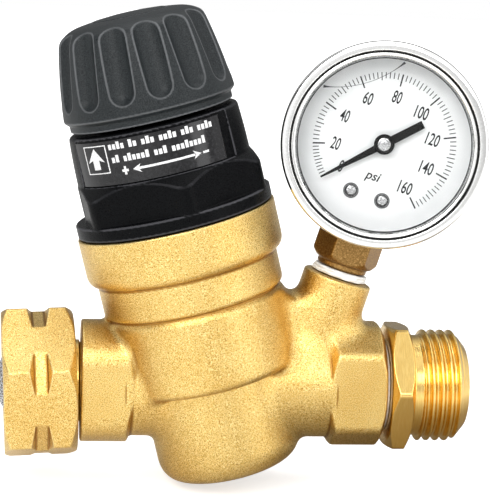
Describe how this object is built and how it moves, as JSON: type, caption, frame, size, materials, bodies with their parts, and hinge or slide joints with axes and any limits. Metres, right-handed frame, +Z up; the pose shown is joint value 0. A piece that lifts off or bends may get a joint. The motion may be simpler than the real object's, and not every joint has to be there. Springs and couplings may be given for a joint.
{
  "type": "water pressure regulator",
  "caption": "Adjustable brass water pressure regulator for a caravan hose, with swivel nut inlet, male thread outlet, pull-up knob and liquid-filled dial gauge.",
  "frame": {"origin": "on the flow axis, in the plane of the inlet nut's mouth", "axes": "+X along the flow from inlet to outlet, +Z up, -Y towards the front, where the dial faces"},
  "size_m": [0.1137, 0.0474, 0.1139],
  "materials": {
    "cast_brass": "sand-blasted casting",
    "machined_brass": "turned, bright",
    "socket_brass": "turned, brown tint",
    "black_plastic": "finely textured moulding",
    "label": "glossy film",
    "steel": "bright",
    "chrome": "polished",
    "spring_steel": "dull",
    "rubber": "matt",
    "seal_white": "waxy",
    "dial_white": "matt enamel",
    "pointer_black": "satin",
    "lens_clear": "polished"
  },
  "bodies": {
    "casting": {"body_casting": "cast_brass", "inlet_tailpiece": "machined_brass", "inlet_washer": "rubber", "inlet_screen": "steel", "outlet_adapter": "machined_brass", "outlet_seal": "seal_white", "bonnet": "black_plastic", "bonnet_label": "label", "thrust_washer": "seal_white", "diaphragm": "rubber", "slip_ring": "steel", "seat_cartridge": "machined_brass", "cartridge_o_ring": "rubber", "gauge_socket": "socket_brass", "thread_seal": "seal_white", "gauge_case": "steel", "gauge_bezel": "chrome", "gauge_lens": "lens_clear", "lens_gasket": "rubber", "dial_plate": "dial_white", "dial_screw_left": "steel", "dial_screw_right": "steel", "movement_front_plate": "machined_brass", "movement_back_plate": "machined_brass", "left_pillar": "machined_brass", "right_pillar": "machined_brass", "bourdon_tube": "socket_brass", "hairspring": "spring_steel", "fill_plug": "rubber"},
    "inlet_nut": {"inlet_swivel_nut": "cast_brass"},
    "adjusting_screw": {"adjusting_screw": "machined_brass", "retaining_clip": "spring_steel", "knob_screw": "steel"},
    "knob": {"knob": "black_plastic", "knob_cap": "black_plastic"},
    "carrier": {"spring_carrier": "machined_brass", "range_spring": "spring_steel"},
    "valve": {"valve_stem": "steel", "stem_lock_nut": "steel", "diaphragm_plate": "steel", "diaphragm_lower_plate": "machined_brass", "disc_holder": "machined_brass", "valve_disc": "rubber", "disc_nut": "steel"},
    "pointer": {"pointer": "pointer_black", "pointer_pinion": "steel"},
    "sector": {"sector_gear": "machined_brass", "tip_link": "machined_brass"}
  },
  "joints": [
    {"name": "inlet_swivel", "type": "hinge", "parent": "casting", "child": "inlet_nut", "pos_m": [0.015, 0, 0], "axis": [0.9985, 0.0349, 0.0419], "continuous": true},
    {"name": "knob_turn", "type": "hinge", "parent": "casting", "child": "adjusting_screw", "pos_m": [0.0503, 0, 0], "axis": [-0.2521, 0, 0.9677], "range_deg": [-810, 810]},
    {"name": "knob_lift", "type": "slide", "parent": "adjusting_screw", "child": "knob", "axis": [-0.2521, 0, 0.9677], "range_m": [0, 0.004]},
    {"name": "carrier_travel", "type": "slide", "parent": "casting", "child": "carrier", "axis": [-0.2521, 0, 0.9677], "range_m": [-0.0034, 0.0034], "deforming": ["range_spring"]},
    {"name": "valve_lift", "type": "slide", "parent": "casting", "child": "valve", "axis": [-0.2521, 0, 0.9677], "range_m": [0, 0.0015], "deforming": ["diaphragm", "range_spring"]},
    {"name": "sector_swing", "type": "hinge", "parent": "casting", "child": "sector", "pos_m": [0.09745, -0.00196, 0.0521], "axis": [-0.1827, -0.9816, 0.0552], "range_deg": [0, 33.75]},
    {"name": "pointer_spin", "type": "hinge", "parent": "casting", "child": "pointer", "pos_m": [0.08889, 0, 0.05859], "axis": [0.1827, 0.9816, -0.0552], "range_deg": [0, 270]}
  ],
  "couplings": [
    {"joint": "carrier_travel", "follows": "knob_turn", "m_per_rad": 0.0002387},
    {"joint": "pointer_spin", "follows": "sector_swing", "ratio": 8}
  ]
}
